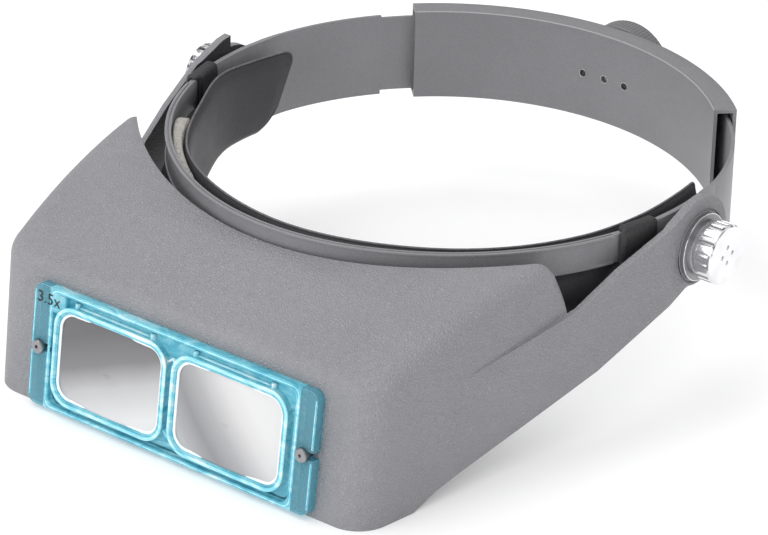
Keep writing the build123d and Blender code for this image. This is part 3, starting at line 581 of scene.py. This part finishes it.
def sweatband():
    """Leatherette band with crowned faces, sewn edges and swelling below the headband, and a paler line along
    its edge, a painted highlight.
    """
    thick = 0.0016
    even, nose, inner_steps = 103.4, 0.56, 18
    stations = [-even + i * (2 * even / 300) for i in range(301)]
    for k in range(9):
        near = nose * (1 - math.cos(k / 8 * math.pi / 2))
        stations += [-LEATHER_END + near, LEATHER_END - near]
    stations = sorted(set(round(v, 4) for v in stations))
    rows = []
    edge_highlight_line = []
    for deg in stations:
        r0 = leather_r(deg)
        s = (LEATHER_END - abs(deg)) * math.pi / 180 * r0
        t = thick * math.sqrt(max(0.02, 1 - max(0.0, 1 - s / 0.0008) ** 2))
        full_top = smooth_steps(TOP, deg)
        top = full_top - corner_drop(s, 0.0050)
        low = LOW + 0.0025 * min(1.0, max(0.0, (abs(deg) - 60) / 20)) + corner_drop(s, 0.0105)
        bulge = smooth_steps(BULGE, deg)
        turn = math.radians(deg)
        wave = 0.00030 * math.sin(4 * turn + 0.4) + 0.00018 * math.sin(9 * turn + 1.1)

        def put(depth, z):
            d = flap_angle(deg, z, full_top, LOW)
            return at(math.radians(d), leather_r(d) - depth, z)

        row = []
        # inner face, from the bottom up, crowned between its two sewn edges
        for j in range(inner_steps + 1):
            u = j / inner_steps
            z = low + (top - low) * u
            edge = min(u, 1 - u) * (top - low)
            crown = 0.0009 * (1 - math.exp(-edge / 0.0035)) * min(1.0, s / 0.006)
            groove = -0.00045 * math.exp(-((edge - 0.0022) / 0.0005) ** 2) * min(1.0, s / 0.004)
            rim = t / 2 * max(0.0, 1 - edge / 0.0007)
            row.append(put(t + crown + groove - rim - wave * u, z))
        # outer face down to where the swelling starts
        z0 = max(SWELL_TOP, low + 0.002)
        for j in range(5):
            u = j / 4
            z = top + (z0 - top) * u
            rim = t / 2 * max(0.0, 1 - (top - z) / 0.0007)
            row.append(put(rim - wave, z))
        # below the band, where the padding swells outwards
        amount = min(1.0, max(0.0, (76 - abs(deg)) / 10))
        amount = amount * amount * (3 - 2 * amount)
        out_r = (band_r(turn) + bulge) * amount + r0 * (1 - amount)
        for j in range(1, 15):
            u = j / 15
            swell = math.sin(math.pi * u) ** 0.55
            z = z0 + (low - z0) * u
            row.append(put(-(out_r - r0) * swell - wave, z))
        rows.append(row)
        edge_highlight_line.append(put(t / 2 - wave, top + 0.00015))
    # the line also runs down both flaps' ends
    left_end = [rows[0][j] for j in range(4, inner_steps + 1)]
    right_end = [rows[-1][j] for j in range(inner_steps, 3, -1)]
    edge_highlight_line = left_end + edge_highlight_line + right_end
    obj = ring_mesh("sweatband_leather", rows)
    dress(obj, M["leather"])
    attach(obj, "headband")
    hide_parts("sweatband")
    line = tube("sweatband_edge_highlight_line", edge_highlight_line, 0.00034)
    dress(line, M["leather_edge"])
    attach(line, "headband")


def fleece():
    """Tufted lining between the headband and the leather."""
    start, end, steps, around = -58.0, 59.0, 260, 22
    low = -0.0092
    rows = []
    for i in range(steps + 1):
        deg = start + (end - start) * i / steps
        th = math.radians(deg)
        outer = band_r(th, 0.0016) - 0.0003
        inner = leather_r(deg) + 0.0002
        shut = max(0.0, 1 - (deg - start) / 3.0, 1 - (end - deg) / 3.0)
        mid = (outer + inner) / 2
        half = (outer - inner) / 2 * math.sqrt(max(0.03, 1 - shut ** 2))
        top = -0.0016 if deg < -34 else -0.0016 - 0.0022 * min(1.0, (deg + 34) / 8)
        top -= 0.0022 * shut
        row = []
        for j in range(around):
            a = 2 * math.pi * j / around
            ca, sa = math.cos(a), math.sin(a)
            r = mid + half * math.copysign(abs(ca) ** 0.45, ca)
            z = (top + low) / 2 + (top - low) / 2 * math.copysign(abs(sa) ** 0.45, sa)
            p = Vector(at(th, r, z))
            tuft = space_noise.noise(p * 520) * 0.00045 + space_noise.noise(p * 1300) * 0.00025
            lift = max(0.0, sa)
            row.append((p.x, p.y, p.z + tuft * lift))
        rows.append(row)
    obj = ring_mesh("sweatband_fleece", rows)
    dress(obj, M["fleece"])
    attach(obj, "headband")
    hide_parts("sweatband_foam")


def band_loop(side, hand):
    """Leather strap wrapped round the headband, with turned, slightly uneven edges."""
    start, end = 71.8, 80.7
    steps, around = 30, 56
    half_r, half_z, centre_z = 0.0014, 0.0050, -0.00465
    skin = 0.00003
    rows_out, rows_in = [], []
    for i in range(steps + 1):
        u = i / steps
        row_out, row_in = [], []
        for j in range(around):
            a = 2 * math.pi * j / around
            ca, sa = math.cos(a), math.sin(a)
            bow = 0.7 * ca * (1 - u) ** 2
            deg = start + (end - start) * u - bow * (1 if u < 1 else 0)
            th = math.radians(side * deg)
            full = math.sqrt(max(0.0, 1 - abs(2 * u - 1) ** 7))
            t = 0.00020 + 0.00085 * full
            t += (0.00028 * math.exp(-((u - 0.10) / 0.035) ** 2)
                  + 0.00016 * math.exp(-((u - 0.92) / 0.035) ** 2))
            base_r = half_r * math.copysign(abs(ca) ** 0.28, ca)
            base_z = half_z * math.copysign(abs(sa) ** 0.28, sa)
            grow = 1 + 0.05 * math.sin(3 * a + 4 * u)
            centre = band_r(th, 0.0008)
            nr = math.copysign(abs(ca) ** 0.9, ca)
            nz = math.copysign(abs(sa) ** 0.9, sa)
            row_out.append(at(th, centre + base_r + nr * t * grow, centre_z + base_z + nz * t * grow))
            row_in.append(at(th, centre + base_r + nr * skin, centre_z + base_z + nz * skin))
        rows_out.append(row_out)
        rows_in.append(row_in)
    rows = rows_out + rows_in[::-1]
    rows.append(rows_out[0])
    obj = ring_mesh("loop_" + hand, rows, caps=False)
    bm = bmesh.new()
    bm.from_mesh(obj.data)
    bmesh.ops.remove_doubles(bm, verts=bm.verts, dist=0.000002)
    bmesh.ops.recalc_face_normals(bm, faces=bm.faces)
    bm.to_mesh(obj.data)
    bm.free()
    dress(obj, M["loop"])
    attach(obj, "headband")
    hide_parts("band_loop_" + hand)


sweatband()
fleece()
band_loop(1, "left")
band_loop(-1, "right")


# ------------------------------------------------------------------ lens plate details
# the plate's lean in radians, its middle on the visor's front panel and its three directions
TILT = 0.12
PLATE_MID = Vector((0, RY - 0.13104, RZ - 0.04031))
PLATE_ACROSS = Vector((1, 0, 0))
PLATE_OUT = Vector((0, -math.cos(TILT), math.sin(TILT)))
PLATE_UP = PLATE_OUT.cross(PLATE_ACROSS)


def on_plate(x, v, h):
    """Point on the lens plate: across, up along the panel and out of it, in millimetres."""
    return PLATE_MID + PLATE_ACROSS * (x / 1000) + PLATE_UP * (v / 1000) + PLATE_OUT * (h / 1000)


def rounded_path(cx, cv, w, h, r, n=10):
    """Closed rounded rectangle as (x, v) points."""
    out = []
    for sx, sv, a0 in ((1, 1, 0), (-1, 1, 90), (-1, -1, 180), (1, -1, 270)):
        for k in range(n + 1):
            a = math.radians(a0 + 90 * k / n)
            out.append((cx + sx * (w / 2 - r) + r * math.cos(a), cv + sv * (h / 2 - r) + r * math.sin(a)))
    return out


def bead(name, paths, height, width, rise, material, closed=True, body="lens_plate"):
    """Rounded moulded rib that follows each path on the plate."""
    bm = bmesh.new()
    for path in paths:
        pts = [Vector((x, v, 0)) for x, v in path]
        n = len(pts)
        rings = []
        for i, p in enumerate(pts):
            if closed:
                d = (pts[(i + 1) % n] - pts[i - 1]).normalized()
            else:
                d = (pts[min(i + 1, n - 1)] - pts[max(i - 1, 0)]).normalized()
            side = Vector((-d.y, d.x, 0))
            ring = []
            for k in range(7):
                a = math.pi * k / 6
                off = side * (math.cos(a) * width / 2)
                q = p + off
                ring.append(bm.verts.new(on_plate(q.x, q.y, height + math.sin(a) * rise)))
            rings.append(ring)
        count = n if closed else n - 1
        for i in range(count):
            a, b = rings[i], rings[(i + 1) % n]
            for k in range(6):
                bm.faces.new((a[k], a[k + 1], b[k + 1], b[k]))
            bm.faces.new((a[6], a[0], b[0], b[6]))
        if not closed:
            bm.faces.new(rings[0])
            bm.faces.new(rings[-1][::-1])
    bmesh.ops.recalc_face_normals(bm, faces=bm.faces)
    obj = mesh_object(name, bm, smooth=True)
    dress(obj, M[material])
    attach(obj, body)


LENSES, LENS_V = (-22.8, 22.8), -0.3
TRAY_FLOOR = 1.5
TAB_EDGE = 53.4


def upright(x, low, step):
    """Line of points up the plate."""
    return [(x, low + i * step) for i in range(11)]


# the ribs in the bright edge material carry a painted highlight
bead("tray_rim", [rounded_path(0, 0, 94.2, 37.3, 2.6)], 2.93, 1.0, 0.35, "plate_edge")
# dark line at the foot of the tray wall: a painted shadow
bead("tray_floor_shadow_line", [rounded_path(0, 0, 91.0, 34.6, 2.4)], TRAY_FLOOR, 0.7, 0.30, "plate_line")
bead("lens_rims", [rounded_path(x, LENS_V, 42.6, 30.6, 6.5) for x in LENSES], 4.1, 1.2, 0.45, "plate_edge")
bead("lens_edges", [rounded_path(x, LENS_V, 39.4, 27.4, 5.2) for x in LENSES], 3.2, 1.1, 0.55, "lens_edge")

# slots above the lenses: a bar over each, a dark line under the bar that is a painted shadow, and a post at
# each end
BAR_HALF, BAR_V, SHADOW_DROP = 13.5, 15.75, 0.9
POST_X, POST_LOW, POST_STEP = 14.6, 14.6, 0.6
bars = [[(x - BAR_HALF + i * 2 * BAR_HALF / 12, BAR_V) for i in range(13)] for x in LENSES]
shadows = [[(x, v - SHADOW_DROP) for x, v in bar] for bar in bars]
posts = [[(x + end, POST_LOW + i * POST_STEP) for i in range(5)] for x in LENSES for end in (-POST_X, POST_X)]
bead("slot_bars", bars, TRAY_FLOOR, 0.8, 1.3, "plate_edge", closed=False)
bead("slot_shadows", shadows, TRAY_FLOOR, 0.55, 0.35, "plate_line", closed=False)
bead("slot_posts", posts, TRAY_FLOOR, 1.6, 1.9, "plate_edge", closed=False)

# curved webs between the lenses, above and below
WEB_X, WEB_STEP, WEB_RISE = 4.6, 0.46, 3.0
webs = []
for v, way in ((9.0, 1), (-9.6, -1)):
    rises = [v + way * WEB_RISE * (i / 10) ** 1.6 for i in range(11)]
    webs.append([(-WEB_X + i * WEB_STEP, rise) for i, rise in enumerate(rises)])
    webs.append([(WEB_X - i * WEB_STEP, rise) for i, rise in enumerate(rises)])
bead("middle_webs", webs, TRAY_FLOOR, 0.9, 1.6, "plate_edge", closed=False)

# outer edges of the end tabs, with a gap at the open screw slot
tab_edges = [upright(-TAB_EDGE, -17.0, 3.4), upright(TAB_EDGE, 1.6, 1.54), upright(TAB_EDGE, -17.0, 1.45)]
bead("end_tab_edges", tab_edges, 3.02, 0.8, 0.25, "plate_edge", closed=False)


def plate_text(text, x, v, size):
    """Thin printed figures on the plate's upper left corner."""
    print_height = 3.42
    curve = bpy.data.curves.new("magnification_figures", "FONT")
    curve.body = text
    curve.size = size
    curve.extrude = 0.00006
    curve.resolution_u = 4
    curve.space_character = 1.06
    tmp = bpy.data.objects.new("figures_tmp", curve)
    scene.collection.objects.link(tmp)
    me = bpy.data.meshes.new_from_object(tmp.evaluated_get(bpy.context.evaluated_depsgraph_get()))
    bpy.data.objects.remove(tmp)
    rot = Matrix((PLATE_ACROSS, PLATE_UP, PLATE_OUT)).transposed().to_4x4()
    me.transform(Matrix.Translation(on_plate(x, v, print_height)) @ rot)
    obj = bpy.data.objects.new("magnification_figures", me)
    scene.collection.objects.link(obj)
    dress(obj, M["print"])
    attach(obj, "lens_plate")


def figures_step():
    """Clear step at the tray's corner, level with the end tab, that carries the last figures."""
    mid_x, mid_v = -44.2, 14.75
    half_x, half_v = 2.8, 3.1
    corner = rounded_path(mid_x, mid_v, 5.6, 6.2, 1.1, 6)
    levels = [(1.45, 0.0), (3.1, 0.0), (3.32, 0.22)]  # height, and how far it is cut in there
    bm = bmesh.new()
    rings = []
    for height, cut in levels:
        inset = [(x + (mid_x - x) * cut / half_x, v + (mid_v - v) * cut / half_v) for x, v in corner]
        rings.append([bm.verts.new(on_plate(x, v, height)) for x, v in inset])
    for lower, upper in zip(rings, rings[1:]):
        for k in range(len(corner)):
            j = (k + 1) % len(corner)
            bm.faces.new((lower[k], lower[j], upper[j], upper[k]))
    bm.faces.new(rings[-1])
    bm.faces.new(rings[0][::-1])
    bmesh.ops.recalc_face_normals(bm, faces=bm.faces)
    obj = mesh_object("figures_step", bm)
    dress(obj, M["plate"])
    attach(obj, "lens_plate")


figures_step()
plate_text("3.5x", -52.6, 13.6, 0.0050)


# ------------------------------------------------------------------ pivot hardware details
def ring_points(side, x, radius, count=96):
    """Circle of points round a temple pivot's axis."""
    turns = [2 * math.pi * k / count for k in range(count)]
    y, z = RY + PIVOT_BACK, RZ - PIVOT_DROP
    return [(side * x, y + radius * math.cos(t), z + radius * math.sin(t)) for t in turns]


def pivot_trim(side, hand):
    """Rolled bright edges of the washers and the knob's rim."""
    trim = [("washer_rim_" + hand, 0.09388, 0.01050, 0.00016, "headband"),
            ("outer_washer_rim_" + hand, 0.09648, 0.00850, 0.00014, "headband"),
            ("knob_rim_" + hand, 0.10196, 0.00918, 0.00016, "thumb_knob_" + hand)]
    for name, x, radius, bead_radius, body in trim:
        obj = tube(name, ring_points(side, x, radius), bead_radius, closed=True)
        dress(obj, M["chrome"])
        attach(obj, body)


pivot_trim(1, "left")
pivot_trim(-1, "right")


# ------------------------------------------------------------------ seam between the band and each side strap
def strap_turn(y):
    """Angle round the ring at a distance behind its centre, on the straps' circle."""
    return math.pi / 2 + math.asin(y / STRAP_R)


def seam_cover(side, hand):
    """Thin skin over the joint line, so that band and strap look like one piece, as they are moulded."""
    y0, y1 = 0.0106, 0.0190
    low, high = -0.02803, 0.00003
    skin, depth = 0.00003, 0.00163
    rows = []
    for i in range(29):
        u = i / 28
        th = strap_turn(y0 + (y1 - y0) * u)
        ease = min(1.0, max(0.0, (u - 0.2) / 0.8))
        ease = ease * ease * (3 - 2 * ease)
        outer = STRAP_R + skin
        inner = STRAP_R - depth + 0.0005 * ease
        tip = 0.0002 * min(1.0, min(u, 1 - u) / 0.06)
        section = [(inner - tip * 0.1, low), (inner - tip * 0.1, high), (outer, high), (outer, low)]
        rows.append([at(side * th, r, z) for r, z in section])
    obj = ring_mesh("seam_cover_" + hand, rows, smooth=False)
    dress(obj, M["band"])
    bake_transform(obj)


seam_cover(1, "left")
seam_cover(-1, "right")


# ------------------------------------------------------------------ rear housing details
def housing_trim():
    """Thin pale tube along the inner top edge and a small lip round each screw hole, both in the paler edge
    material, a painted highlight.
    """
    wall_r, line_half, line_z = 0.082, 45.6, 0.00255
    pts = [at(math.radians(180 - line_half + 2 * line_half * i / 120), wall_r, line_z) for i in range(121)]
    edge = tube("housing_top_highlight_line", pts, 0.00022)
    hole_gap, hole_z, lip_r = 0.0082, RZ - 0.0127, 0.00135
    turns = [2 * math.pi * k / 28 for k in range(28)]
    lips = []
    for x in (-hole_gap, 0.0, hole_gap):
        y = RY + math.sqrt(wall_r ** 2 - x ** 2) - 0.00002
        ring = [(x + lip_r * math.cos(t), y, hole_z + lip_r * math.sin(t)) for t in turns]
        lips.append(tube("screw_hole_lip_%d" % (len(lips) + 1), ring, 0.00016, closed=True))
    for obj in [edge] + lips:
        dress(obj, M["housing_edge"])
        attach(obj, "rear_housing")


housing_trim()

# ------------------------------------------------------------------ camera, floor and light
cam_data = bpy.data.cameras.new("camera")
cam = bpy.data.objects.new("camera", cam_data)
scene.collection.objects.link(cam)
scene.camera = cam
yaw, pitch, roll = 2.2261, 0.4709, 0.0243
fwd = Vector((math.cos(pitch) * math.cos(yaw), math.cos(pitch) * math.sin(yaw), -math.sin(pitch)))
right = Vector((math.sin(yaw), -math.cos(yaw), 0))
up = right.cross(fwd)
cam_right = math.cos(roll) * right + math.sin(roll) * up
cam_up = -math.sin(roll) * right + math.cos(roll) * up
rot = Matrix((cam_right, cam_up, -fwd)).transposed().to_4x4()
cam.matrix_world = Matrix.Translation((0.67178, RY - 0.90708, 0.58487)) @ rot
# focal length in pixels of a frame 768 wide, on a 36 mm sensor
focal, frame_width, sensor = 4017.9, 768, 36
cam_data.sensor_width = sensor
cam_data.lens = focal / frame_width * sensor
cam_data.clip_start = 0.05

bm = bmesh.new()
bmesh.ops.create_grid(bm, x_segments=2, y_segments=2, size=4)
floor = mesh_object("floor", bm)
dress(floor, M["floor"])

world = bpy.data.worlds.new("studio")
scene.world = world
world.use_nodes = True
wt = world.node_tree
plain = wt.nodes["Background"]
plain.inputs[0].default_value = (1.0, 1.0, 1.0, 1)
plain.inputs[1].default_value = 0.86
# what shiny metal mirrors: a dark studio with bright strips
strips = wt.nodes.new("ShaderNodeTexWave")
strips.bands_direction = "Z"
strips.inputs["Scale"].default_value = 0.9
strips.inputs["Distortion"].default_value = 1.5
where = wt.nodes.new("ShaderNodeTexCoord")
wt.links.new(where.outputs["Generated"], strips.inputs["Vector"])
tones = wt.nodes.new("ShaderNodeValToRGB")
tones.color_ramp.elements[0].position = 0.35
tones.color_ramp.elements[0].color = (0.03, 0.03, 0.035, 1)
tones.color_ramp.elements[1].position = 0.55
tones.color_ramp.elements[1].color = (0.95, 0.95, 0.96, 1)
wt.links.new(strips.outputs["Fac"], tones.inputs["Fac"])
mirror = wt.nodes.new("ShaderNodeBackground")
wt.links.new(tones.outputs["Color"], mirror.inputs[0])
rays = wt.nodes.new("ShaderNodeLightPath")
pick = wt.nodes.new("ShaderNodeMixShader")
wt.links.new(rays.outputs["Is Glossy Ray"], pick.inputs["Fac"])
wt.links.new(plain.outputs[0], pick.inputs[1])
wt.links.new(mirror.outputs[0], pick.inputs[2])
wt.links.new(pick.outputs[0], wt.nodes["World Output"].inputs[0])
scene.view_settings.view_transform = "Standard"


def area(name, place, target, size, power):
    """Rectangular soft light, aimed at a target."""
    d = bpy.data.lights.new(name, "AREA")
    d.shape = "RECTANGLE"
    d.size, d.size_y = size
    d.energy = power
    o = bpy.data.objects.new(name, d)
    scene.collection.objects.link(o)
    o.location = place
    o.rotation_euler = (Vector(target) - Vector(place)).to_track_quat("-Z", "Y").to_euler()


area("key", (-0.4, -0.2, 1.5), (0, 0, 0.03), (1.2, 1.2), 7)
area("front", (-0.1, -1.5, 0.6), (0, -0.1, 0.03), (1.4, 0.8), 9)
